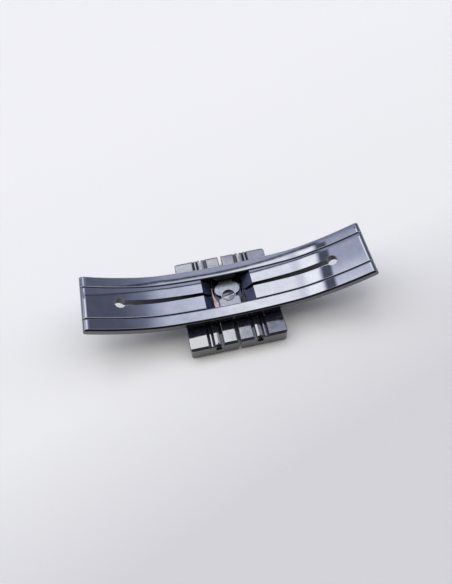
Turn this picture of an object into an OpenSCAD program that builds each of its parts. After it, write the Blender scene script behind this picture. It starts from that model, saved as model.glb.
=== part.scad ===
/* [Curved bar] */
// Width over both rails
bar_w = 9.8; // [9:0.1:12]
// Thickness of the rails and the wings
bar_t = 1.45; // [1.2:0.05:1.8]
// Radius of the skin surface in the middle of the bar
mid_r = 90; // [60:1:150]
// Length of the middle curve
mid_len = 19.6; // [16:0.2:24]
// Radius of the tighter bend on each side of the middle curve
bend_r = 22.5; // [16:0.5:40]
// Length of each tighter bend
bend_len = 3.9; // [2:0.1:6]
// Radius of the curve that runs out to each hinge
end_r = 47; // [30:1:90]
// Length of each outer curve, up to the rounded end
end_len = 8.7; // [7:0.1:12]
// Width of one rail
rail_w = 2.05; // [1.8:0.05:2.4]
// Bevel along the outer edges of the rails
rail_bevel = 0.25; // [0.1:0.05:0.4]
// Width of the eased edges between the wings and the rails
ease_w = 0.15; // [0.1:0.01:0.35]
// Depth of those eased edges
ease_h = 0.07; // [0.04:0.01:0.2]

/* [Wings] */
// Gap between a wing and each rail
wing_gap = 0.05; // [0.03:0.01:0.1]
// Length of the window between the two wing tips
window_len = 8.06; // [7:0.02:9]
// Width of the slit at the wing tip
slit_tip_w = 0.53; // [0.4:0.01:0.7]
// Width of the slit where it meets the relief hole
slit_root_w = 0.9; // [0.6:0.02:1.2]
// Diameter of the relief hole that ends the slit
relief_d = 1.73; // [1.4:0.01:2.2]
// Distance from the tighter bend to the relief hole, along the bar
relief_run = 3.6; // [2:0.1:4.5]

/* [Wing hinges] */
// Diameter of the hinge pins
hinge_pin_d = 0.7; // [0.6:0.05:0.9]
// Distance of the hinge axis behind the start of the rounded end
hinge_inset = 0.72; // [0.5:0.02:1]
// Radial clearance of the wing on its hinge pin
hinge_clear = 0.03; // [0.02:0.01:0.06]
// How far the pin ends lie below the sides of the rails
pin_sink = 0.04; // [0.02:0.01:0.1]

/* [End links] */
// Width of the end links, which is the width of the bracelet
link_w = 16.8; // [15:0.1:20]
// Length of one end link along the bracelet
link_l = 7.6; // [7:0.1:9]
// Thickness of the end links
link_t = 2.8; // [2.75:0.05:3.6]
// Gap between the two end links at the split
split_gap = 0.5; // [0.3:0.05:0.8]
// Gap between the end links and the underside of the bar
bar_gap = 0.95; // [0.8:0.05:1.2]
// Length of the small block beside the split
inner_block_l = 2.17; // [1.9:0.01:2.5]
// Width of the groove between the small block and the rib
groove_w = 0.46; // [0.3:0.02:0.7]
// Width of the rib over the link pin
rib_w = 0.98; // [0.8:0.02:1.2]
// Radius of the crown of the rib
rib_crown_r = 2.5; // [1.5:0.1:5]
// Width of the grooves on both sides of the fin
fin_gap = 0.29; // [0.2:0.01:0.4]
// Width of the thin fin beside the rib
fin_w = 0.34; // [0.25:0.01:0.5]
// How far the fin lies below the blocks
fin_drop = 0.12; // [0.05:0.01:0.25]
// Depth of the grooves
groove_d = 0.45; // [0.3:0.05:0.5]
// Height of the pointed bottom of the grooves
groove_point = 0.22; // [0.05:0.01:0.24]
// Chamfer on the edges of the blocks
block_chamfer = 0.12; // [0.05:0.01:0.2]
// Width of the bevel along the two side faces of a link
side_bevel_w = 0.4; // [0.3:0.05:0.8]
// Height of that bevel
side_bevel_h = 0.24; // [0.2:0.02:0.6]
// Radius of the upright corners at the bracelet end
corner_r = 0.55; // [0.4:0.05:1.2]

/* [Link hinges] */
// Diameter of the link pins
link_pin_d = 0.8; // [0.7:0.02:0.9]
// Depth of the link pin's axis below the top of the link
pin_depth = 0.9; // [0.88:0.01:1.1]
// Diameter of the recess in which each end of the link pin lies
recess_d = 1.06; // [1:0.02:1.3]
// Depth of that recess
recess_depth = 0.6; // [0.3:0.05:1]
// How far the pointed top of the recess runs out above the rib
recess_point = 0.1; // [0.05:0.01:0.2]
// Outer diameter of the collar on the link pin
collar_d = 1.16; // [1.1:0.02:1.24]
// Radial clearance of the lug on its collar
collar_clear = 0.03; // [0.02:0.01:0.05]
// Outer radius of the lug round the collar
lug_r = 0.85; // [0.8:0.01:0.9]
// Clearance between the lug and the bottom of the link's pocket
pocket_clear = 0.2; // [0.1:0.02:0.3]
// Clearance of parts that are pressed or bonded together
seat_gap = 0.01; // [0.005:0.005:0.02]

/* [Bracelet joint] */
// Width of the slot that takes the next bracelet link
slot_w = 6; // [4.5:0.1:7]
// Depth of the slot
slot_l = 2; // [1.8:0.05:2.3]
// Diameter of the hole for the bracelet pin
bracelet_pin_d = 1; // [0.8:0.05:1.2]
// Distance of that hole from the end face
bracelet_pin_inset = 1.2; // [1:0.05:1.3]
// Depth of the hole's blind end beyond the slot
blind_depth = 3; // [2:0.1:4]

/* [Catch] */
// Gap between the underside of the rails and the catch plate
plate_drop = 0.4; // [0.3:0.02:0.5]
// Thickness of the catch plate
plate_t = 0.45; // [0.4:0.02:0.55]
// Radius of the two round lobes of the catch plate
lobe_r = 1.2; // [1:0.02:1.3]
// Distance of the lobes from the middle, along the bar
lobe_x = 0.9; // [0.7:0.02:0.94]
// Distance of the lobes from the middle, across the bar
lobe_y = 1.28; // [1.2:0.02:1.5]
// Width of the plate's two tongues
tongue_w = 2.3; // [1.6:0.05:2.6]
// Width of the plate's square-shouldered foot
foot_w = 3.45; // [3:0.05:3.5]
// Distance from the middle to the shoulders of the foot
shoulder_y = 0.36; // [0.2:0.02:0.5]
// Length of the foot across the bar
foot_l = 2.2; // [1.6:0.05:2.4]
// Radius of the foot's corners
foot_r = 0.4; // [0.2:0.05:0.6]
// Width across the plate's waist
waist_w = 2.45; // [2.4:0.05:2.7]
// Diameter of the catch screw's head
screw_head_d = 1.86; // [1.6:0.02:2]
// Height of the catch screw's head
screw_head_h = 0.3; // [0.24:0.01:0.34]
// Width of the slope round the rim of the screw's head
screw_rim_w = 0.14; // [0.05:0.01:0.2]
// Height of that slope
screw_rim_h = 0.08; // [0.03:0.01:0.1]
// Diameter of the catch screw's shank
screw_d = 1.1; // [0.9:0.02:1.2]
// Ring gap round the screw head
head_gap = 0.1; // [0.05:0.01:0.15]
// Width of the screw's slot
driver_slot_w = 0.42; // [0.2:0.02:0.44]
// Turn at which the screw came to rest, from the direction of the bar
driver_turn = 5; // [0:1:90]
// Depth of the screw's slot
driver_slot_d = 0.14; // [0.1:0.01:0.18]
// Length of the bridge along the bar
bridge_l = 4.4; // [4.1:0.05:4.45]
// Gap between the bridge and the sides of the links' pockets
bridge_gap = 0.12; // [0.08:0.01:0.2]
// Thickness of the bridge's floor
bridge_t = 0.7; // [0.6:0.02:0.8]
// Width of the posts between the bridge's floor and the rails
post_w = 1.15; // [1.05:0.05:1.25]
// Diameter of the rivets that hold the bridge to the rails
rivet_d = 0.6; // [0.5:0.02:0.7]
// Diameter of the rivet heads
rivet_head_d = 0.84; // [0.75:0.01:0.9]
// Height of the rivet heads
rivet_head_h = 0.25; // [0.2:0.01:0.35]
// Spacing of the rivets along the bar
rivet_pitch = 2.2; // [1.8:0.1:2.6]
// How far the rivets reach into the rails
rivet_reach = 0.7; // [0.5:0.05:0.9]
// Thickness of the catch springs
spring_t = 0.18; // [0.12:0.01:0.2]
// Radius of each spring's outer edge, along the wing's catch ridge
spring_r = 10; // [9.5:0.1:12]
// Radius of each spring's waist, beside a lobe of the plate
spring_waist_r = 4.5; // [4:0.1:6]
// Width of a spring at its waist
spring_waist_w = 0.28; // [0.2:0.02:0.32]
// Radius to which the springs are arched upwards
spring_arch_r = 40; // [38:1:80]
// Gap between a spring and the plate's foot
spring_gap = 0.12; // [0.08:0.01:0.2]
// Depth of the seats of the springs in the posts
spring_seat = 0.3; // [0.2:0.02:0.4]
// Clearance round the spring ends in their seats
spring_clear = 0.03; // [0.02:0.01:0.05]
// How far a spring lies below the top of the catch plate
spring_drop = 0.1; // [0.05:0.01:0.15]
// Overlap of a wing's catch ridge over the spring
catch_bite = 0.1; // [0.06:0.01:0.14]
// Clearance between that ridge and the spring
catch_clear = 0.1; // [0.06:0.01:0.14]

/* [Hook blocks] */
// Reach of the neck from the link pin's axis towards the catch
neck_in = 0.42; // [0.4:0.01:0.5]
// Reach of the neck from the link pin's axis away from the catch
neck_out = 0.62; // [0.5:0.02:0.65]
// Reach of the catch ridge beyond the neck
ridge_reach = 0.33; // [0.3:0.01:0.4]
// Height of the flat end of the catch ridge
ridge_h = 0.5; // [0.4:0.02:0.6]
// How far the block's slope starts below the top of the wing
slope_drop = 0.18; // [0.1:0.02:0.3]
// Length of the shelf behind the wing tip
shelf_l = 1.25; // [1:0.05:1.4]
// Thickness of the shelf
shelf_t = 0.45; // [0.35:0.01:0.5]
// Rise of the underside of the shelf towards its free end
shelf_rise = 0.05; // [0.02:0.01:0.1]
// Gap between the shelf's closing stops and the rails
stop_gap = 0.03; // [0.02:0.01:0.05]
// Gap between the block and the rails on each side
block_gap = 0.15; // [0.1:0.01:0.2]
// Gap between the block's lug and the cheeks of the link core
lug_gap = 0.1; // [0.06:0.01:0.15]

/* [Hidden] */

black = "#1b1d26";
dark_steel = "#3a3d47";
steel = "#b4b8c2";
copper = "#b67a5b";

// Facets of a whole turn on the large curves and on the small bores
large_fn = 360;
small_fn = 48;
// Overshoot of every cut
cut = 1;
// Turn by which the tighter bend runs on inside its neighbours, in degrees, and its step down from them
lap_a = 1;
lap_step = 0.01;

// Turns of the three curves, in degrees
mid_a = mid_len / 2 / mid_r * 180 / PI;
bend_a = bend_len / bend_r * 180 / PI;
end_a = end_len / end_r * 180 / PI;
hinge_a = (end_len - hinge_inset) / end_r * 180 / PI;
relief_a = relief_run / end_r * 180 / PI;
tip_a = asin(window_len / 2 / mid_r);

// Heights above the table on which the display faces of the links rest
under_z = link_t + bar_gap;
skin_z = under_z + bar_t;
pin_z = link_t - pin_depth;
pocket_z = pin_z - lug_r - pocket_clear;
plate_z = under_z - plate_drop;
bridge_z = plate_z - plate_t;
spring_z = plate_z - spring_drop;

// Places along and across the bar
wing_w = bar_w - 2 * rail_w - 2 * wing_gap;
block_w = bar_w - 2 * rail_w - 2 * block_gap;
pin_x = split_gap / 2 + inner_block_l + groove_w + rib_w / 2;
neck_x = pin_x - neck_in;
ridge_x = neck_x - ridge_reach;
bow_x = ridge_x + catch_bite;
spring_x = foot_w / 2 + spring_gap;
tip_x = window_len / 2;
fin_x = inner_block_l + groove_w + rib_w + fin_gap;
outer_block_x = fin_x + fin_w + fin_gap;
pocket_w = bar_w - 0.96;
bridge_w = pocket_w - 2 * bridge_gap;
pocket_end = pin_x + lug_r + 2 * pocket_clear;
post_y = bridge_w / 2 - post_w;
spring_end = post_y + spring_seat;
bracelet_pin_x = split_gap / 2 + link_l - bracelet_pin_inset;

// End of the middle curve, end of the tighter bend and middle of the relief hole, seen from the side
mid_end = mid_r * [sin(mid_a), 1 - cos(mid_a)];
bend_end = mid_end + bend_r * [sin(mid_a + bend_a) - sin(mid_a), cos(mid_a) - cos(mid_a + bend_a)];
relief_x = bend_end[0] + end_r * (sin(mid_a + bend_a + relief_a) - sin(mid_a + bend_a));

// Carries its children to one side of the clasp: 1 is right, -1 is left
module on_side(side) {
    mirror([side < 0 ? 1 : 0, 0, 0]) children();
}

// Turns its children along a curve of the bar, round the curve's centre above them
module turn_along(r, a) {
    translate([0, 0, r]) rotate([0, -a, 0]) translate([0, 0, -r]) children();
}

// Frames on the skin surface: its middle, the start of the tighter bend and a place on the outer curve
module at_middle() {
    translate([0, 0, skin_z]) children();
}
module at_bend() {
    at_middle() turn_along(mid_r, mid_a) children();
}
module at_outer(a) {
    at_bend() turn_along(bend_r, bend_a) turn_along(end_r, a) children();
}

// One curve of the bar: a section drawn as (depth below the skin surface, place across) swept between two turns
module curve(r, from, to) {
    translate([0, 0, r])
        rotate([-90, 0, 0])
            rotate([0, 0, 90 - to])
                rotate_extrude(angle = to - from, $fn = large_fn)
                    translate([r, 0])
                        children();
}

// The tighter bend and the outer curve on the right-hand side. A section draws itself smaller by $step.
module outer_curves() {
    at_bend() curve(bend_r, -lap_a, bend_a + lap_a, $step = lap_step) children();
    at_outer(0) curve(end_r, 0, end_a, $step = 0) children();
}

// Rounded end of the bar: half a section turned about the middle of the bar's thickness
module rounded_end() {
    at_outer(end_a)
        translate([0, 0, -bar_t / 2])
            rotate([-90, 0, 0])
                rotate_extrude($fn = small_fn, $step = lap_step)
                    children();
}

// A straight bore or pin across the clasp, centred on the middle
module across(d, length) {
    rotate([90, 0, 0]) cylinder(d = d, h = length, center = true, $fn = small_fn);
}

// Everything from above the bar down to a depth below its skin surface, in the middle curve
module bar_space(depth, from, width) {
    at_middle()
        curve(mid_r, from, mid_a)
            translate([-bar_t, -width / 2]) square([bar_t + depth, width]);
}

// Section of the back rail, from its eased inner edges to its bevelled outer ones
module rail_section() {
    inner = bar_w / 2 - rail_w + $step;
    outer = bar_w / 2 - $step;
    top = $step;
    bottom = bar_t - $step;
    polygon([
        [top, inner + ease_w], [top + ease_h, inner], [bottom - ease_h, inner], [bottom, inner + ease_w],
        [bottom, outer - rail_bevel], [bottom - rail_bevel, outer],
        [top + rail_bevel, outer], [top, outer - rail_bevel]
    ]);
}
module rail_end_section() {
    inner = bar_w / 2 - rail_w + $step;
    outer = bar_w / 2 - $step;
    reach = bar_t / 2 - $step;
    polygon([
        [0, inner], [reach - ease_h, inner], [reach, inner + ease_w],
        [reach, outer - rail_bevel], [reach - rail_bevel, outer], [0, outer]
    ]);
}

// Middle of each rivet: two in each post of the bridge
module at_rivets(sides) {
    for (x = [-rivet_pitch / 2, rivet_pitch / 2], y = sides * (post_y + post_w / 2))
        translate([x, y, 0]) children();
}
module rivet_shank(gap) {
    translate([0, 0, bridge_z - bridge_t])
        cylinder(d = rivet_d + 2 * gap, h = bridge_t + plate_t + plate_drop + rivet_reach, $fn = small_fn);
}
module rivet_head(gap) {
    translate([0, 0, bridge_z - bridge_t])
        cylinder(d = rivet_head_d + 2 * gap, h = rivet_head_h, $fn = small_fn);
}

module rail() {
    difference() {
        union() {
            at_middle() curve(mid_r, -mid_a, mid_a, $step = 0) rail_section();
            for (side = [-1, 1])
                on_side(side) {
                    outer_curves() rail_section();
                    rounded_end() rail_end_section();
                }
        }
        for (side = [-1, 1])
            on_side(side)
                at_outer(hinge_a)
                    translate([0, 0, -bar_t / 2])
                        across(hinge_pin_d + 2 * seat_gap, bar_w + cut);
        at_rivets([1]) rivet_shank(seat_gap);
    }
}
module back_rail() {
    color(black) rail();
}
module front_rail() {
    color(black) mirror([0, 1, 0]) rail();
}

module hinge_pin(side) {
    color(steel)
        on_side(side)
            at_outer(hinge_a)
                translate([0, 0, -bar_t / 2])
                    across(hinge_pin_d, bar_w - 2 * pin_sink);
}

// Blade of a wing: its hinge end lies between the rails' ends, its tip beside the window
module wing_section() {
    side = wing_w / 2 - $step;
    top = $step;
    bottom = bar_t - $step;
    polygon([
        [top, ease_w - side], [top + ease_h, -side], [bottom - ease_h, -side], [bottom, ease_w - side],
        [bottom, side - ease_w], [bottom - ease_h, side], [top + ease_h, side], [top, side - ease_w]
    ]);
}
module wing_end_section() {
    side = wing_w / 2 - $step;
    reach = bar_t / 2 - $step;
    polygon([
        [0, -side], [reach - ease_h, -side], [reach, ease_w - side],
        [reach, side - ease_w], [reach - ease_h, side], [0, side]
    ]);
}
module slit() {
    start = tip_x - cut;
    translate([0, 0, under_z - cut])
        linear_extrude(height = skin_z)
            polygon([
                [start, -slit_tip_w / 2], [relief_x, -slit_root_w / 2],
                [relief_x, slit_root_w / 2], [start, slit_tip_w / 2]
            ]);
}
module wing(side) {
    color(black)
        on_side(side)
            difference() {
                union() {
                    at_middle() curve(mid_r, tip_a, mid_a, $step = 0) wing_section();
                    outer_curves() wing_section();
                    rounded_end() wing_end_section();
                }
                slit();
                at_outer(relief_a)
                    translate([0, 0, -bar_t - cut])
                        cylinder(d = relief_d, h = bar_t + 2 * cut, $fn = small_fn);
                at_outer(hinge_a)
                    translate([0, 0, -bar_t / 2])
                        across(hinge_pin_d + 2 * hinge_clear, bar_w);
            }
}

// Hook block: slope and catch ridge beside the window, neck and lug down to the link pin, shelf under the wing
module hook_profile() {
    ridge_z = spring_z + catch_clear;
    neck_end = pin_x + neck_out;
    shelf_end = tip_x + shelf_l;
    union() {
        polygon([
            [tip_x + cut / 2, skin_z - slope_drop], [tip_x, skin_z - slope_drop],
            [ridge_x, ridge_z + ridge_h], [ridge_x, ridge_z],
            [neck_x, ridge_z], [neck_x, pin_z], [neck_end, pin_z],
            [neck_end, under_z - shelf_t], [shelf_end, under_z - shelf_t + shelf_rise],
            [shelf_end, under_z + cut / 2], [tip_x + cut / 2, under_z + cut / 2]
        ]);
        translate([pin_x, pin_z]) circle(r = lug_r, $fn = small_fn);
    }
}
module hook_block(side) {
    stop_w = bridge_w;
    shelf_start = pin_x + neck_out;
    color(dark_steel)
        on_side(side)
            difference() {
                union() {
                    difference() {
                        rotate([90, 0, 0])
                            linear_extrude(height = block_w, center = true)
                                hook_profile();
                        bar_space(bar_t, tip_a, block_w + cut);
                    }
                    difference() {
                        translate([shelf_start, -stop_w / 2, under_z - shelf_t + shelf_rise])
                            cube([tip_x + shelf_l - shelf_start, stop_w, shelf_t + bar_gap / 2]);
                        bar_space(bar_t + stop_gap, 0, stop_w + cut);
                    }
                }
                translate([0, -slit_tip_w / 2, under_z])
                    cube([tip_x + slit_tip_w, slit_tip_w, bar_t]);
                translate([pin_x, 0, pin_z])
                    across(collar_d + 2 * collar_clear, block_w + cut);
            }
}

// Side view of an end link, from its face at the split out to the bracelet end
module chamfered(x0, x1, z0, z1, c) {
    polygon([
        [x0, z0 + c], [x0 + c, z0], [x1 - c, z0], [x1, z0 + c],
        [x1, z1 - c], [x1 - c, z1], [x0 + c, z1], [x0, z1 - c]
    ]);
}
module crowned_rib() {
    middle = inner_block_l + groove_w + rib_w / 2;
    intersection() {
        chamfered(middle - rib_w / 2, middle + rib_w / 2, 0, link_t, block_chamfer);
        translate([middle, link_t - rib_crown_r]) circle(r = rib_crown_r, $fn = large_fn);
        translate([middle, rib_crown_r]) circle(r = rib_crown_r, $fn = large_fn);
    }
}
// Bottom of a groove in the top face and in the bottom face: two slopes that meet in a point
module groove_bottoms(x0, x1) {
    low = groove_d - groove_point;
    polygon([
        [x0, low], [(x0 + x1) / 2, groove_d], [x1, low],
        [x1, link_t - low], [(x0 + x1) / 2, link_t - groove_d], [x0, link_t - low]
    ]);
}
module link_side_view() {
    rib_x = inner_block_l + groove_w;
    union() {
        translate([0, groove_d]) square([link_l, link_t - 2 * groove_d]);
        groove_bottoms(inner_block_l, rib_x);
        groove_bottoms(rib_x + rib_w, fin_x);
        groove_bottoms(fin_x + fin_w, outer_block_x);
        chamfered(0, inner_block_l, 0, link_t, block_chamfer);
        crowned_rib();
        chamfered(fin_x, fin_x + fin_w, fin_drop, link_t - fin_drop, block_chamfer / 2);
        chamfered(outer_block_x, link_l, 0, link_t, block_chamfer);
    }
}
// View of a link along the bracelet, with the bevels of its side faces
module link_end_view() {
    half = link_w / 2;
    polygon([
        [-half, side_bevel_h], [side_bevel_w - half, 0], [half - side_bevel_w, 0], [half, side_bevel_h],
        [half, link_t - side_bevel_h], [half - side_bevel_w, link_t],
        [side_bevel_w - half, link_t], [-half, link_t - side_bevel_h]
    ]);
}
// View of a link from above, with its two rounded corners at the bracelet end
corner_steps = 6;
function corner(y, from) = [
    for (i = [0 : corner_steps])
        let (a = from + i * 90 / corner_steps)
        [link_l - corner_r + corner_r * cos(a), y + corner_r * sin(a)]
];
module link_plan() {
    half = link_w / 2;
    polygon(concat(
        [[0, half], [0, -half]],
        corner(corner_r - half, -90),
        corner(half - corner_r, 0)
    ));
}

// Recess for an end of the link pin. Its top runs to a point through the end of the rib.
module pointed_recess(length) {
    top = pin_depth + recess_point;
    half = acos(recess_d / 2 / top);
    rotate([90, 0, 0])
        linear_extrude(height = length, center = true) {
            circle(d = recess_d, $fn = small_fn);
            polygon([
                [0, 0], recess_d / 2 * [sin(half), cos(half)],
                [0, top], recess_d / 2 * [-sin(half), cos(half)]
            ]);
        }
}

module end_link(side) {
    color(black)
        on_side(side)
            difference() {
                translate([split_gap / 2, 0, 0])
                    intersection() {
                        rotate([90, 0, 0])
                            linear_extrude(height = link_w, center = true)
                                link_side_view();
                        rotate([90, 0, 90])
                            linear_extrude(height = link_l)
                                link_end_view();
                        linear_extrude(height = link_t)
                            link_plan();
                    }
                translate([0, -pocket_w / 2, pocket_z])
                    cube([pocket_end, pocket_w, link_t]);
                translate([split_gap / 2 + link_l - slot_l, -slot_w / 2, -cut])
                    cube([slot_l + cut, slot_w, link_t + 2 * cut]);
                translate([pin_x, 0, pin_z]) {
                    across(link_pin_d + 2 * seat_gap, link_w + cut);
                    for (face = [-1, 1])
                        translate([0, face * (link_w / 2 - recess_depth / 2 + cut / 2), 0])
                            pointed_recess(recess_depth + cut);
                }
                translate([bracelet_pin_x, -slot_w / 2 - blind_depth, link_t / 2])
                    rotate([-90, 0, 0])
                        cylinder(d = bracelet_pin_d, h = link_w, $fn = small_fn);
            }
}

// Steel core of a link: two cheeks joined by a web, in the link's pocket
module link_core(side) {
    start = pin_x - lug_r;
    web = pocket_end - seat_gap - pin_x - lug_r - pocket_clear;
    height = pin_z + lug_r - pocket_z - seat_gap;
    color(steel)
        on_side(side)
            difference() {
                translate([start, -pocket_w / 2 + seat_gap, pocket_z + seat_gap])
                    cube([pocket_end - seat_gap - start, pocket_w - 2 * seat_gap, height - seat_gap]);
                translate([start - cut, -block_w / 2 - lug_gap, pocket_z])
                    cube([pocket_end - seat_gap - web - start + cut, block_w + 2 * lug_gap, link_t]);
                translate([start, -block_w / 2 - lug_gap, pin_z + lug_r / 2])
                    cube([pocket_end, block_w + 2 * lug_gap, link_t]);
                translate([pin_x, 0, pin_z])
                    across(link_pin_d + 2 * seat_gap, link_w);
            }
}

module link_pin(side) {
    color(steel)
        on_side(side)
            translate([pin_x, 0, pin_z])
                across(link_pin_d, link_w - 2 * recess_depth);
}
module link_collar(side) {
    color(steel)
        on_side(side)
            translate([pin_x, 0, pin_z])
                difference() {
                    across(collar_d, block_w + lug_gap);
                    across(link_pin_d + 2 * seat_gap, link_w);
                }
}

// Bridge under the rails: a floor, and two posts with the seats of the springs
module spring_seats() {
    half = spring_end + spring_clear;
    translate([spring_x - spring_clear, -half, bridge_z])
        cube([bridge_l, 2 * half, link_t]);
}
module centre_bridge() {
    color(dark_steel)
        difference() {
            union() {
                translate([-bridge_l / 2, -bridge_w / 2, bridge_z - bridge_t])
                    cube([bridge_l, bridge_w, bridge_t]);
                for (y = [-bridge_w / 2, post_y])
                    translate([-bridge_l / 2, y, bridge_z - bridge_t])
                        cube([bridge_l, post_w, skin_z - bridge_z + bridge_t - bar_t / 2]);
            }
            bar_space(bar_t, -mid_a, bar_w);
            for (side = [-1, 1])
                on_side(side) spring_seats();
            at_rivets([-1, 1]) {
                rivet_shank(seat_gap);
                rivet_head(seat_gap);
            }
            translate([0, 0, bridge_z - bridge_t - cut])
                cylinder(d = screw_d + 2 * seat_gap, h = bridge_t + 2 * cut, $fn = small_fn);
        }
}
module bridge_rivets() {
    color(steel)
        at_rivets([-1, 1])
            union() {
                rivet_shank(0);
                rivet_head(0);
            }
}

// Catch spring: an arched leaf that lies under the ridge of its wing. It is widest beside the plate's foot.
module spring_outline() {
    difference() {
        intersection() {
            translate([bow_x - spring_r, 0]) circle(r = spring_r, $fn = large_fn);
            translate([spring_x, -spring_end]) square([bow_x, 2 * spring_end]);
        }
        translate([bow_x - spring_waist_w - spring_waist_r, lobe_y]) circle(r = spring_waist_r, $fn = large_fn);
    }
}
module catch_spring(side) {
    color(copper)
        on_side(side)
            intersection() {
                translate([0, 0, bridge_z])
                    linear_extrude(height = bar_gap)
                        spring_outline();
                translate([0, 0, spring_z - spring_arch_r])
                    rotate([0, 90, 0])
                        difference() {
                            cylinder(r = spring_arch_r, h = bar_w, $fn = large_fn);
                            translate([0, 0, -cut])
                                cylinder(r = spring_arch_r - spring_t, h = bar_w + 2 * cut, $fn = large_fn);
                        }
            }
}

// Catch plate with two round lobes, a waist, a square-shouldered foot and a tongue under each rail
module plate_foot() {
    translate([0, -shoulder_y - foot_l / 2]) {
        square([foot_w, foot_l - 2 * foot_r], center = true);
        square([foot_w - 2 * foot_r, foot_l], center = true);
        for (x = [-1, 1], y = [-1, 1])
            translate([x * (foot_w / 2 - foot_r), y * (foot_l / 2 - foot_r)])
                circle(r = foot_r, $fn = small_fn);
    }
}
module catch_plate() {
    color(steel)
        difference() {
            translate([0, 0, bridge_z])
                linear_extrude(height = plate_t)
                    union() {
                        for (x = [-lobe_x, lobe_x])
                            translate([x, lobe_y]) circle(r = lobe_r, $fn = small_fn);
                        square([tongue_w, 2 * (post_y - 2 * spring_clear)], center = true);
                        circle(d = waist_w, $fn = small_fn);
                        plate_foot();
                    }
            translate([0, 0, plate_z - screw_head_h + spring_clear])
                cylinder(d = screw_head_d + 2 * head_gap, h = plate_t, $fn = small_fn);
            translate([0, 0, bridge_z - cut])
                cylinder(d = screw_d + 2 * seat_gap, h = plate_t + cut, $fn = small_fn);
        }
}
module catch_screw() {
    head_z = plate_z - screw_head_h + spring_clear;
    color(steel)
        difference() {
            union() {
                translate([0, 0, head_z])
                    cylinder(d = screw_head_d, h = screw_head_h - screw_rim_h, $fn = small_fn);
                translate([0, 0, head_z + screw_head_h - screw_rim_h])
                    cylinder(
                        d1 = screw_head_d, d2 = screw_head_d - 2 * screw_rim_w, h = screw_rim_h, $fn = small_fn
                    );
                translate([0, 0, bridge_z - bridge_t])
                    cylinder(d = screw_d, h = head_z - bridge_z + bridge_t, $fn = small_fn);
            }
            translate([0, 0, head_z + screw_head_h - driver_slot_d])
                rotate([0, 0, driver_turn])
                    translate([-screw_head_d, -driver_slot_w / 2, 0])
                        cube([2 * screw_head_d, driver_slot_w, plate_t]);
        }
}

front_rail();
back_rail();
centre_bridge();
bridge_rivets();
hinge_pin(-1);  // left_hinge_pin
hinge_pin(1);  // right_hinge_pin
catch_plate();
catch_screw();
catch_spring(-1);  // left_catch_spring
catch_spring(1);  // right_catch_spring
wing(-1);  // left_wing
wing(1);  // right_wing
hook_block(-1);  // left_hook_block
hook_block(1);  // right_hook_block
end_link(-1);  // left_end_link
end_link(1);  // right_end_link
link_core(-1);  // left_link_core
link_core(1);  // right_link_core
link_pin(-1);  // left_link_pin
link_pin(1);  // right_link_pin
link_collar(-1);  // left_link_collar
link_collar(1);  // right_link_collar
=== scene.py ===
import math

import bmesh
import bpy
from mathutils import Matrix, Vector


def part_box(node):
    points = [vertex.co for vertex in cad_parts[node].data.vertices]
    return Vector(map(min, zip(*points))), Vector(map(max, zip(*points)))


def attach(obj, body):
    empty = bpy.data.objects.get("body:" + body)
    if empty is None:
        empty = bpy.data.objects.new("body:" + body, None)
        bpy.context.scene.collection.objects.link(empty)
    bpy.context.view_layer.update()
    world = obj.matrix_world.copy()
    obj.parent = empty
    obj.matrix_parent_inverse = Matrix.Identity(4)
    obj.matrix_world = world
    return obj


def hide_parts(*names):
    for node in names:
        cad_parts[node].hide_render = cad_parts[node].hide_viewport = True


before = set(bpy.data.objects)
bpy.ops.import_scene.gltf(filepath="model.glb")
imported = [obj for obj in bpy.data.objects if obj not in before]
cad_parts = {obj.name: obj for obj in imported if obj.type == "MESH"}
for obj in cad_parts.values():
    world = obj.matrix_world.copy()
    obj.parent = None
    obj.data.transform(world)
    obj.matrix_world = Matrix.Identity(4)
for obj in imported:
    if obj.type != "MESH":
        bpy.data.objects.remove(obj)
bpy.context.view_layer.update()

# Camera. It looks down on the skin side of the closed clasp from the front, a little from the left,
# and leans by a few degrees, so the bar climbs to the right.
mm = 0.001
eye = Vector((-6.51, -43.95, 78.47)) * mm
sight = Vector((0.0710, 0.5094, -0.8576))
lean = math.radians(4.65)
camera = bpy.data.objects.new("camera", bpy.data.cameras.new("camera"))
bpy.context.scene.collection.objects.link(camera)
camera.rotation_mode = "QUATERNION"
camera.rotation_quaternion = (
    sight.to_track_quat("-Z", "Y") @ Matrix.Rotation(-lean, 3, "Z").to_quaternion()
)
camera.location = eye
camera.data.lens = 32.78
camera.data.sensor_width = 36
camera.data.clip_start = 5 * mm
camera.data.clip_end = 20
bpy.context.scene.camera = camera

# Black coating of the bar. The rails and wings are pressed from steel strip, polished to a mirror along
# their length, and coated black. The coat keeps the faint waves and hairlines of the polishing, and the
# side walls are only ground.


def wire(tree, kind, sockets, **settings):
    made = tree.nodes.new(kind)
    for name, value in settings.items():
        setattr(made, name, value)
    for name, value in sockets.items():
        if isinstance(value, bpy.types.NodeSocket):
            tree.links.new(value, made.inputs[name])
        else:
            made.inputs[name].default_value = value
    return made


def blank_material(name, **uniform):
    material = bpy.data.materials.new(name)
    material.use_nodes = True
    tree = material.node_tree
    shader = tree.nodes["Principled BSDF"]
    for socket, value in uniform.items():
        shader.inputs[socket.replace("_", " ")].default_value = value
    return material, tree, shader


def in_millimetres(tree, stretch=(1, 1, 1)):
    place = wire(tree, "ShaderNodeTexCoord", {}).outputs["Object"]
    scale = [share / mm for share in stretch]
    return wire(tree, "ShaderNodeMapping", {"Vector": place, "Scale": scale}).outputs["Vector"]


def noise(tree, place, scale, detail=2.0, rough=0.5):
    sockets = {"Vector": place, "Scale": scale, "Detail": detail, "Roughness": rough}
    return wire(tree, "ShaderNodeTexNoise", sockets).outputs["Fac"]


def spread(tree, value, low, high, new_low, new_high):
    sockets = {"Value": value, "From Min": low, "From Max": high, "To Min": new_low, "To Max": new_high}
    return wire(tree, "ShaderNodeMapRange", sockets).outputs["Result"]


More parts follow.
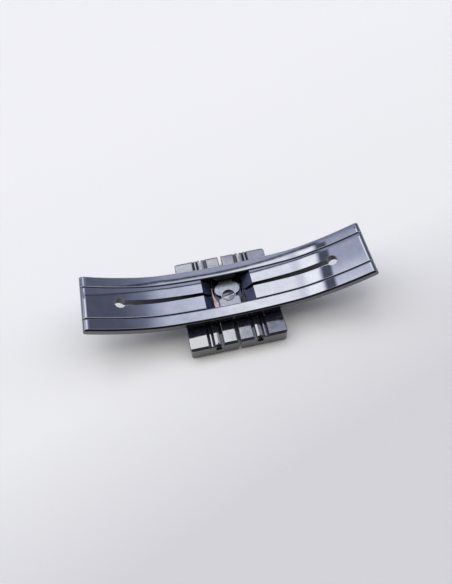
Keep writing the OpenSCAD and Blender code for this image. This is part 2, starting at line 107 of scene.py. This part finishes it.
def tones(tree, value, stops):
    ramp = wire(tree, "ShaderNodeValToRGB", {"Fac": value})
    while len(ramp.color_ramp.elements) < len(stops):
        ramp.color_ramp.elements.new(0.5)
    for element, (position, color) in zip(ramp.color_ramp.elements, stops):
        element.position = position
        element.color = (*color, 1)
    return ramp.outputs["Color"]


def bumps(tree, shader, *layers):
    normal = None
    for height, distance in layers:
        sockets = {"Height": height, "Distance": distance}
        if normal is not None:
            sockets["Normal"] = normal
        normal = wire(tree, "ShaderNodeBump", sockets).outputs["Normal"]
    tree.links.new(normal, shader.inputs["Normal"])


def shades(tint, darker, lighter):
    return [darker * c for c in tint], [min(1.0, lighter * c) for c in tint]


def black_coat(name, tint):
    material, tree, shader = blank_material(name, Metallic=1.0)
    hairlines = noise(tree, in_millimetres(tree, (0.08, 1, 1)), 9.0, detail=3.0, rough=0.6)
    waves = noise(tree, in_millimetres(tree, (0.5, 1, 1)), 0.35, detail=1.0)
    smears = noise(tree, in_millimetres(tree), 0.8, detail=4.0, rough=0.65)
    dark, pale = shades(tint, 0.93, 1.07)
    tree.links.new(tones(tree, smears, ((0.35, dark), (0.7, pale))), shader.inputs["Base Color"])
    facing = wire(tree, "ShaderNodeTexCoord", {}).outputs["Normal"]
    across = wire(tree, "ShaderNodeSeparateXYZ", {"Vector": facing}).outputs["Y"]
    sideways = wire(tree, "ShaderNodeMath", {0: across}, operation="ABSOLUTE").outputs[0]
    polished = spread(tree, smears, 0.4, 0.75, 0.018, 0.03)
    ground = spread(tree, sideways, 0.9, 1.0, 0.0, 0.13)
    rough = wire(tree, "ShaderNodeMath", {0: polished, 1: ground}, operation="ADD").outputs[0]
    tree.links.new(rough, shader.inputs["Roughness"])
    bumps(tree, shader, (hairlines, 0.00003 * mm), (waves, 0.001 * mm))
    return material


coat_tint = (0.138, 0.142, 0.158)
black_rail = black_coat("black_rail", coat_tint)
black_wing = black_coat("black_wing", coat_tint)

# Shape of the bar. Every strip is made flat, with its height measured from the skin surface. Its ends are
# rolled round, and it is then bent to the three curves of the bar, from the middle out to both hinges. Each
# corner is shaded like the largest faces round it, so that flats stay flat beside their narrow bevels.
bar_t = 1.45 * mm
curves = ((90 * mm, 9.8 * mm), (22.5 * mm, 3.9 * mm), (47 * mm, 8.7 * mm))
run_out = sum(length for radius, length in curves)
skin_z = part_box("back_rail")[0].z + bar_t
cross_cut = 0.4 * mm
roll_step = math.radians(8.5)
roll_cuts = 9
end_turns = [roll_step * i for i in range(1, roll_cuts + 1)]
reach = run_out + bar_t / 2 * math.sin(roll_step * (roll_cuts + 1))
hair = 0.001 * mm
weld = 0.0001 * mm


def along_bar(run):
    place = Vector((0, 0))
    turn = 0.0
    for radius, length in curves:
        stretch = min(run, length)
        run -= stretch
        ahead = turn + stretch / radius
        place += radius * Vector((math.sin(ahead) - math.sin(turn), math.cos(turn) - math.cos(ahead)))
        turn = ahead
    return place + run * Vector((math.cos(turn), math.sin(turn))), turn


def roll_and_bend(point, normal):
    side = 1 if point.x >= 0 else -1
    run = abs(point.x)
    rolled = max(0.0, run - run_out) / (bar_t / 2)
    thin = math.sqrt(1 - rolled ** 2)
    depth = thin * (point.z + bar_t / 2) - bar_t / 2
    outward = side * normal.x + rolled * abs(normal.z)
    upward = thin * normal.z
    place, turn = along_bar(run)
    sine, cosine = math.sin(turn), math.cos(turn)
    bent = Vector((side * (place.x - depth * sine), point.y, skin_z + place.y + depth * cosine))
    facing = Vector((side * (outward * cosine - upward * sine), normal.y, outward * sine + upward * cosine))
    return bent, facing.normalized()


def at_end(edge):
    near, far = (v.co.x for v in edge.verts)
    return abs(near - far) < hair and abs(near) > run_out


def soften(bm, radius, segments=3, least_turn=15):
    limit = math.radians(least_turn)
    inside = [edge for edge in bm.edges if len(edge.link_faces) == 2 and not at_end(edge)]
    bmesh.ops.bevel(
        bm, geom=[edge for edge in inside if edge.calc_face_angle() > limit], offset=radius,
        segments=segments, profile=0.5, affect="EDGES", material=-1, clamp_overlap=True,
    )


def cut(bm, place, across):
    everything = bm.verts[:] + bm.edges[:] + bm.faces[:]
    bmesh.ops.bisect_plane(bm, geom=everything, plane_co=place, plane_no=across, dist=weld)


def ease_side(bm, side_y, width, depth, middle_y):
    inward = 1 if side_y < middle_y else -1
    cut(bm, (0, side_y + inward * width, 0), (0, 1, 0))
    for vertex in bm.verts:
        if abs(vertex.co.y - side_y) < hair:
            vertex.co.z = (vertex.co.z + bar_t / 2) * (1 - 2 * depth / bar_t) - bar_t / 2
    bm.normal_update()


def cut_across(bm, start):
    count = round((run_out - start) / cross_cut)
    stops = [start + (run_out - start) * i / count for i in range(1, count + 1)]
    stops += [run_out + bar_t / 2 * math.sin(turn) for turn in end_turns]
    for stop in stops:
        cut(bm, (stop, 0, 0), (1, 0, 0))
        if start < 0 < stop - run_out:
            cut(bm, (-stop, 0, 0), (1, 0, 0))


def closed_mesh(bm, name, bend=None, crisp=None):
    bmesh.ops.remove_doubles(bm, verts=bm.verts, dist=weld)
    bmesh.ops.recalc_face_normals(bm, faces=bm.faces)
    facings = []
    for vertex in bm.verts:
        largest = max(face.calc_area() for face in vertex.link_faces)
        broad = [face.normal for face in vertex.link_faces if face.calc_area() > largest / 2]
        facings.append(sum(broad, Vector()).normalized())
    if bend:
        for i, vertex in enumerate(bm.verts):
            vertex.co, facings[i] = bend(vertex.co, facings[i])
    for face in bm.faces:
        face.smooth = True
    mesh = bpy.data.meshes.new(name)
    bm.to_mesh(mesh)
    bm.free()
    if crisp:
        mesh.set_sharp_from_angle(angle=crisp)
    else:
        mesh.normals_split_custom_set_from_vertices(facings)
    return mesh


def add_piece(name, mesh, material, body, node):
    mesh.materials.clear()
    mesh.materials.append(material)
    piece = bpy.data.objects.new(name, mesh)
    bpy.context.scene.collection.objects.link(piece)
    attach(piece, body)
    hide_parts(node)


# Rails. Each is one strip of black-coated steel from hinge to hinge, rolled round at both ends. It has a
# wide bevel along its outer edges and an easing beside the wings.
rail_bevel = 0.25 * mm
ease_w = 0.15 * mm
ease_h = 0.07 * mm
rail_round = 0.04 * mm
for side, name in ((-1, "front_rail"), (1, "back_rail")):
    low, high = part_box(name)
    inner_y, outer_y = (high.y, low.y) if side < 0 else (low.y, high.y)
    middle_y = (low.y + high.y) / 2
    bm = bmesh.new()
    bmesh.ops.create_cube(bm, size=1)
    bmesh.ops.scale(bm, verts=bm.verts, vec=(2 * reach, high.y - low.y, bar_t))
    bmesh.ops.translate(bm, verts=bm.verts, vec=(0, middle_y, -bar_t / 2))
    ease_side(bm, outer_y, rail_bevel, rail_bevel, middle_y)
    ease_side(bm, inner_y, ease_w, ease_h, middle_y)
    soften(bm, rail_round)
    cut_across(bm, -run_out)
    strip = closed_mesh(bm, name, roll_and_bend)
    add_piece(name + "_polished", strip, black_rail, "frame", name)

# Wings. A blade of the same strip fills the space between the rails from its hinge to the window. Its slit
# opens at the tip and widens to a drilled hole, and polishing has left the blade very slightly crowned.
crown_r = 300 * mm
hole_r = 1.73 / 2 * mm
hole_run = curves[0][1] + curves[1][1] + 3.6 * mm
slit_tip = 0.53 / 2 * mm
slit_root = 0.9 / 2 * mm
blade_round = 0.05 * mm
hole_cuts = 24


def crown_and_bend(point, normal):
    return roll_and_bend(point, normal + Vector((0, point.y / crown_r, 0)))


for side, name in ((-1, "left_wing"), (1, "right_wing")):
    low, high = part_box(name)
    half = (high.y - low.y) / 2
    tip = min(abs(low.x), abs(high.x))
    bm = bmesh.new()
    start = bm.verts.new((hole_run + hole_r, 0, 0))
    root_turn = math.pi - math.asin(slit_root / hole_r)
    arc = bmesh.ops.spin(
        bm, geom=[start], cent=(hole_run, 0, 0), axis=(0, 0, 1), angle=root_turn, steps=hole_cuts
    )
    last = next(v for v in arc["geom_last"] if isinstance(v, bmesh.types.BMVert))
    for x, y in ((tip, slit_tip), (tip, half), (reach, half), (reach, 0)):
        following = bm.verts.new((x, y, 0))
        bm.edges.new((last, following))
        last = following
    bm.edges.new((last, start))
    bmesh.ops.edgeloop_fill(bm, edges=bm.edges)
    bmesh.ops.mirror(bm, geom=bm.verts[:] + bm.edges[:] + bm.faces[:], axis="Y", merge_dist=weld)
    bmesh.ops.dissolve_edges(bm, edges=[edge for edge in bm.edges if len(edge.link_faces) == 2])
    below = bmesh.ops.extrude_face_region(bm, geom=bm.faces[:])["geom"]
    bmesh.ops.translate(
        bm, verts=[v for v in below if isinstance(v, bmesh.types.BMVert)], vec=(0, 0, -bar_t)
    )
    bmesh.ops.recalc_face_normals(bm, faces=bm.faces)
    for edge_y in (-half, half):
        ease_side(bm, edge_y, ease_w, ease_h, 0)
    soften(bm, blade_round)
    cut_across(bm, tip)
    if side < 0:
        bmesh.ops.scale(bm, verts=bm.verts, vec=(-1, 1, 1))
    blade = closed_mesh(bm, name, crown_and_bend)
    add_piece(name + "_polished", blade, black_wing, name + "_leaf", name)

# End links. Each is a block of polished black zirconia, ground with a rib, a fin and grooves across it. Its
# sharp corners are broken on a wheel, because zirconia chips at a sharp edge.


def ceramic(name):
    material, tree, shader = blank_material(name, IOR=2.15)
    clouds = noise(tree, in_millimetres(tree), 0.7, detail=3.0, rough=0.6)
    wipes = noise(tree, in_millimetres(tree, (1, 0.15, 1)), 5.0)
    tint = tones(tree, clouds, ((0.3, (0.009, 0.01, 0.015)), (0.75, (0.018, 0.019, 0.027))))
    tree.links.new(tint, shader.inputs["Base Color"])
    tree.links.new(spread(tree, clouds, 0.35, 0.75, 0.05, 0.14), shader.inputs["Roughness"])
    bumps(tree, shader, (wipes, 0.0005 * mm), (clouds, 0.006 * mm))
    return material


def worked_copy(node, name, material, body, radius, segments=2, least_turn=25):
    bm = bmesh.new()
    bm.from_mesh(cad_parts[node].data)
    bmesh.ops.remove_doubles(bm, verts=bm.verts, dist=2 * weld)
    bmesh.ops.dissolve_limit(bm, angle_limit=math.radians(1), verts=bm.verts, edges=bm.edges)
    soften(bm, radius, segments, least_turn)
    add_piece(name, closed_mesh(bm, name), material, body, node)


black_ceramic = ceramic("black_ceramic")
corner_break = 0.04 * mm
for side in ("left", "right"):
    node = side + "_end_link"
    worked_copy(node, node + "_ground", black_ceramic, side + "_link", corner_break)

# Steel inside the links. A U-shaped milled core is bonded into each block and holds the pin, and a turned
# collar on the pin carries the lug of the wing. The cores are blackened.


def machined(name, tint, rough, grain, stretch=(1, 1, 1)):
    material, tree, shader = blank_material(name, Metallic=1.0)
    marks = noise(tree, in_millimetres(tree, stretch), grain, detail=3.0, rough=0.6)
    clouds = noise(tree, in_millimetres(tree), 0.9, detail=3.0, rough=0.6)
    dark, pale = shades(tint, 0.7, 1.2)
    tree.links.new(tones(tree, clouds, ((0.3, dark), (0.7, pale))), shader.inputs["Base Color"])
    tree.links.new(spread(tree, marks, 0.3, 0.7, rough - 0.08, rough + 0.1), shader.inputs["Roughness"])
    bumps(tree, shader, (marks, 0.002 * mm))
    return material


dark_steel = machined("dark_steel", (0.03, 0.033, 0.055), 0.3, 7.0)
steel = machined("steel", (0.45, 0.46, 0.5), 0.22, 12.0, (1, 0.1, 1))
milled_edge = 0.03 * mm
collar_edge = 0.03 * mm
pin_edge = 0.04 * mm
for body in ("left_link", "right_link"):
    worked_copy(body + "_core", body + "_core_milled", dark_steel, body, milled_edge)
    worked_copy(body + "_pin", body + "_pin_turned", steel, body, pin_edge)
    worked_copy(body + "_collar", body + "_collar_turned", steel, body, collar_edge)

# Hinge pins. A wire pin through both rails and the wing at each end of the bar, pressed in and dressed
# flush, so that only a small disc shows on the side of each rail.
for node in ("left_hinge_pin", "right_hinge_pin"):
    worked_copy(node, node + "_dressed", steel, "frame", pin_edge)

# Centre bridge. A milled and blackened steel saddle under the window, with two posts. Two rivets hold each
# post to its rail, and the saddle carries the plate and the springs.
worked_copy("centre_bridge", "centre_bridge_milled", dark_steel, "frame", milled_edge)
worked_copy("bridge_rivets", "bridge_rivets_set", steel, "frame", pin_edge)

# Catch plate. It is stamped from steel sheet, with two round lobes and a waist, and tumbled to a fine grain.
# One screw holds it down on the bridge.


def satin(name, tint):
    material, tree, shader = blank_material(name, Metallic=1.0)
    grain = noise(tree, in_millimetres(tree), 14.0, detail=3.0, rough=0.7)
    pits = noise(tree, in_millimetres(tree), 5.0, detail=4.0, rough=0.7)
    dark, pale = shades(tint, 0.7, 1.25)
    tree.links.new(tones(tree, pits, ((0.35, dark), (0.65, pale))), shader.inputs["Base Color"])
    tree.links.new(spread(tree, grain, 0.3, 0.7, 0.24, 0.4), shader.inputs["Roughness"])
    bumps(tree, shader, (grain, 0.003 * mm), (pits, 0.006 * mm))
    return material


satin_steel = satin("satin_steel", (0.165, 0.17, 0.185))
stamped_edge = 0.06 * mm
worked_copy(
    "catch_plate", "catch_plate_stamped", satin_steel, "frame", stamped_edge, segments=3
)

# Catch screw. A steel screw, turned with a polished domed head and driven through the plate into the
# bridge. A saw has cut its slot right across the head.
polished_steel = machined("polished_steel", (0.12, 0.12, 0.135), 0.12, 10.0)
head_r = 1.86 / 2 * mm
shank_r = 1.1 / 2 * mm
head_h = 0.3 * mm
dome_r = 4 * mm
slot_w = 0.34 * mm
slot_depth = 0.2 * mm
slot_lean = 0.003 * mm
slot_turn = math.radians(8)
dome_rings = 12
turn_cuts = 72
low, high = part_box("catch_screw")
outline = []
for i in range(dome_rings + 1):
    from_axis = head_r * i / dome_rings
    outline.append((from_axis, high.z + math.sqrt(dome_r ** 2 - from_axis ** 2) - dome_r))
outline += [(head_r, high.z - head_h), (shank_r, high.z - head_h), (shank_r, low.z), (0, low.z)]
bm = bmesh.new()
corners = [bm.verts.new((x, 0, z)) for x, z in outline]
edges = [bm.edges.new(pair) for pair in zip(corners, corners[1:])]
bmesh.ops.spin(
    bm, geom=corners + edges, cent=(0, 0, 0), axis=(0, 0, 1), angle=2 * math.pi, steps=turn_cuts,
    use_merge=True,
)
across_slot = Vector((-math.sin(slot_turn), math.cos(slot_turn), 0))
for side in (-1, 1):
    for from_middle in (slot_w / 2, slot_w / 2 + slot_lean):
        cut(bm, side * from_middle * across_slot, across_slot)
for vertex in bm.verts:
    if abs(vertex.co.dot(across_slot)) < slot_w / 2 + hair:
        vertex.co.z = min(vertex.co.z, high.z - slot_depth)
screw = closed_mesh(bm, "catch_screw", crisp=math.radians(30))
add_piece("catch_screw_turned", screw, polished_steel, "frame", "catch_screw")

# Catch springs. Two arched leaves of rolled copper alloy, cut from thin strip and sprung into the posts.
# The right one is coloured a dark olive as painted shade.


def copper(name, tint, shade_tint):
    material, tree, shader = blank_material(name, Metallic=1.0)
    place = in_millimetres(tree)
    rolling = noise(tree, in_millimetres(tree, (1, 0.12, 1)), 12.0, detail=3.0, rough=0.6)
    mottle = noise(tree, place, 1.2, detail=4.0, rough=0.6)
    dark, pale = shades(tint, 0.5, 1.5)
    clean = tones(tree, mottle, ((0.3, dark), (0.6, pale)))
    # Painted shade: a dark olive copy of the copper colour stands in for the shade on the right spring.
    dark, pale = shades(shade_tint, 0.3, 3.0)
    painted_shade = tones(tree, mottle, ((0.35, dark), (0.65, pale)))
    from_middle = wire(tree, "ShaderNodeSeparateXYZ", {"Vector": place}).outputs["X"]
    # The painted shade covers everything right of the middle.
    shade_on_right = spread(tree, from_middle, -0.5, 0.5, 0, 1)
    mixed = wire(tree, "ShaderNodeMix", {0: shade_on_right, 6: clean, 7: painted_shade}, data_type="RGBA").outputs[2]
    tree.links.new(mixed, shader.inputs["Base Color"])
    tree.links.new(spread(tree, mottle, 0.3, 0.7, 0.16, 0.34), shader.inputs["Roughness"])
    bumps(tree, shader, (rolling, 0.002 * mm))
    return material


# The second colour is the dark olive painted shade of the right spring.
copper_alloy = copper("copper_alloy", (0.13, 0.095, 0.092), (0.01, 0.011, 0.009))
leaf_edge = 0.03 * mm
for node in ("left_catch_spring", "right_catch_spring"):
    worked_copy(node, node + "_rolled", copper_alloy, "frame", leaf_edge)

# Hook blocks. A milled and blackened steel block under each wing tip, bonded to the wing. It has the slope
# and the ridge that the spring holds, and the lug that turns on the link's collar.
hook_edge = 0.04 * mm
for side in ("left", "right"):
    node = side + "_hook_block"
    worked_copy(node, node + "_milled", dark_steel, side + "_wing_leaf", hook_edge)

# Floor. A sheet of pale paper, on which the clasp lies with the display faces of its end links. Painted
# shade makes the paper a little darker towards the near right.
paper, tree, shader = blank_material("paper", Roughness=0.9, Specular_IOR_Level=0.1)
shade_way = math.radians(-20)
shade_reach = 50 * mm
sheet_half = 1500 * mm
# Paper colour. The darker stops towards the near right are painted shade.
paper_and_shade_tones = (
    (0.22, (0.463, 0.453, 0.446)),
    (0.47, (0.594, 0.584, 0.564)),
    (1, (0.619, 0.607, 0.589)),
)
place = wire(tree, "ShaderNodeTexCoord", {}).outputs["Object"]
turned = wire(tree, "ShaderNodeMapping", {"Vector": place, "Rotation": (0, 0, shade_way)})
away = wire(tree, "ShaderNodeSeparateXYZ", {"Vector": turned.outputs["Vector"]}).outputs["Y"]
shade_level = spread(tree, away, -shade_reach, shade_reach, 0.0, 1.0)
tree.links.new(tones(tree, shade_level, paper_and_shade_tones), shader.inputs["Base Color"])
bm = bmesh.new()
bmesh.ops.create_grid(bm, x_segments=1, y_segments=1, size=sheet_half)
floor_mesh = bpy.data.meshes.new("floor")
bm.to_mesh(floor_mesh)
bm.free()
floor_mesh.materials.append(paper)
floor = bpy.data.objects.new("floor", floor_mesh)
bpy.context.scene.collection.objects.link(floor)

# Light. A tall bright pane with a dark frame and a dark sill leans over the clasp from behind, and the
# polished strips mirror it. The walls round it are dimmer and bluer, and the camera's side is dark. In the
# directions below, x runs right, y runs away from the camera and down the pane, and z runs up.
world = bpy.data.worlds.new("studio")
world.use_nodes = True
bpy.context.scene.world = world
tree = world.node_tree
tree.nodes.clear()


def step(value, low, high):
    sockets = {"Value": value, "From Min": low, "From Max": high}
    return wire(tree, "ShaderNodeMapRange", sockets, interpolation_type="SMOOTHSTEP").outputs["Result"]


def blend_by(share, a, b):
    return spread(tree, share, 0.0, 1.0, a, b)


way = wire(tree, "ShaderNodeTexCoord", {}).outputs["Generated"]
parts = wire(tree, "ShaderNodeSeparateXYZ", {"Vector": way})
x, y, z = (parts.outputs[i] for i in range(3))
left_wall = blend_by(step(y, 0.45, 0.51), 4.1, 2.3)
right_wall = blend_by(step(x, 0.12, 0.5), 3.3, 0.55)
low_pane = blend_by(step(x, -0.2, -0.12), 5.7, blend_by(step(x, -0.1, -0.02), 4.2, 5.0))
high_right = blend_by(step(y, 0.43, 0.438), 1.9, blend_by(step(x, 0.1, 0.15), 1.9, 0.4))
high_pane = blend_by(step(x, 0.062, 0.09), 4.7, high_right)
pane = blend_by(step(y, 0.452, 0.462), high_pane, blend_by(step(x, 0.05, 0.14), low_pane, right_wall))
frame_side = blend_by(step(x, -0.335, -0.32), left_wall, 0.5)
above_sill = blend_by(step(x, -0.295, -0.27), frame_side, pane)
below_right = blend_by(step(x, 0.05, 0.55), 2.2, 0.7)
below_sill = blend_by(step(x, -0.3, 0.0), 1.4, below_right)
low_glow = blend_by(step(x, -0.3, -0.27), 1.4, blend_by(step(x, 0.065, 0.085), 4.0, below_right))
low_wall = blend_by(step(y, 0.61, 0.66), blend_by(step(y, 0.552, 0.558), below_sill, low_glow), 0.5)
sill_drop = blend_by(step(x, 0.03, 0.18), 0.0, 0.006)
down_pane = wire(tree, "ShaderNodeMath", {0: y, 1: sill_drop}, operation="SUBTRACT").outputs[0]
sill = blend_by(step(x, -0.32, -0.28), 1.9, 0.3)
with_sill = blend_by(step(down_pane, 0.5385, 0.54), above_sill, sill)
behind = blend_by(step(down_pane, 0.542, 0.5435), with_sill, low_wall)
ceiling = 2.6
ceiling_edge = step(y, 0.1, 0.35)
overhead = blend_by(ceiling_edge, ceiling, behind)
camera_side = 0.07
all_round = blend_by(step(y, -0.35, -0.1), camera_side, overhead)
low_down = 1.0
strength = blend_by(step(z, 0.22, 0.34), low_down, all_round)
brightest = 5.0
whiteness = spread(tree, blend_by(ceiling_edge, brightest, behind), 0.0, brightest, 0.0, 1.0)
colour = tones(tree, whiteness, ((0, (0.86, 0.95, 1.35)), (1, (0.98, 0.985, 1.0))))
light = wire(tree, "ShaderNodeBackground", {"Color": colour, "Strength": strength})
wire(tree, "ShaderNodeOutputWorld", {"Surface": light.outputs[0]})

bpy.context.scene.view_settings.view_transform = "Standard"
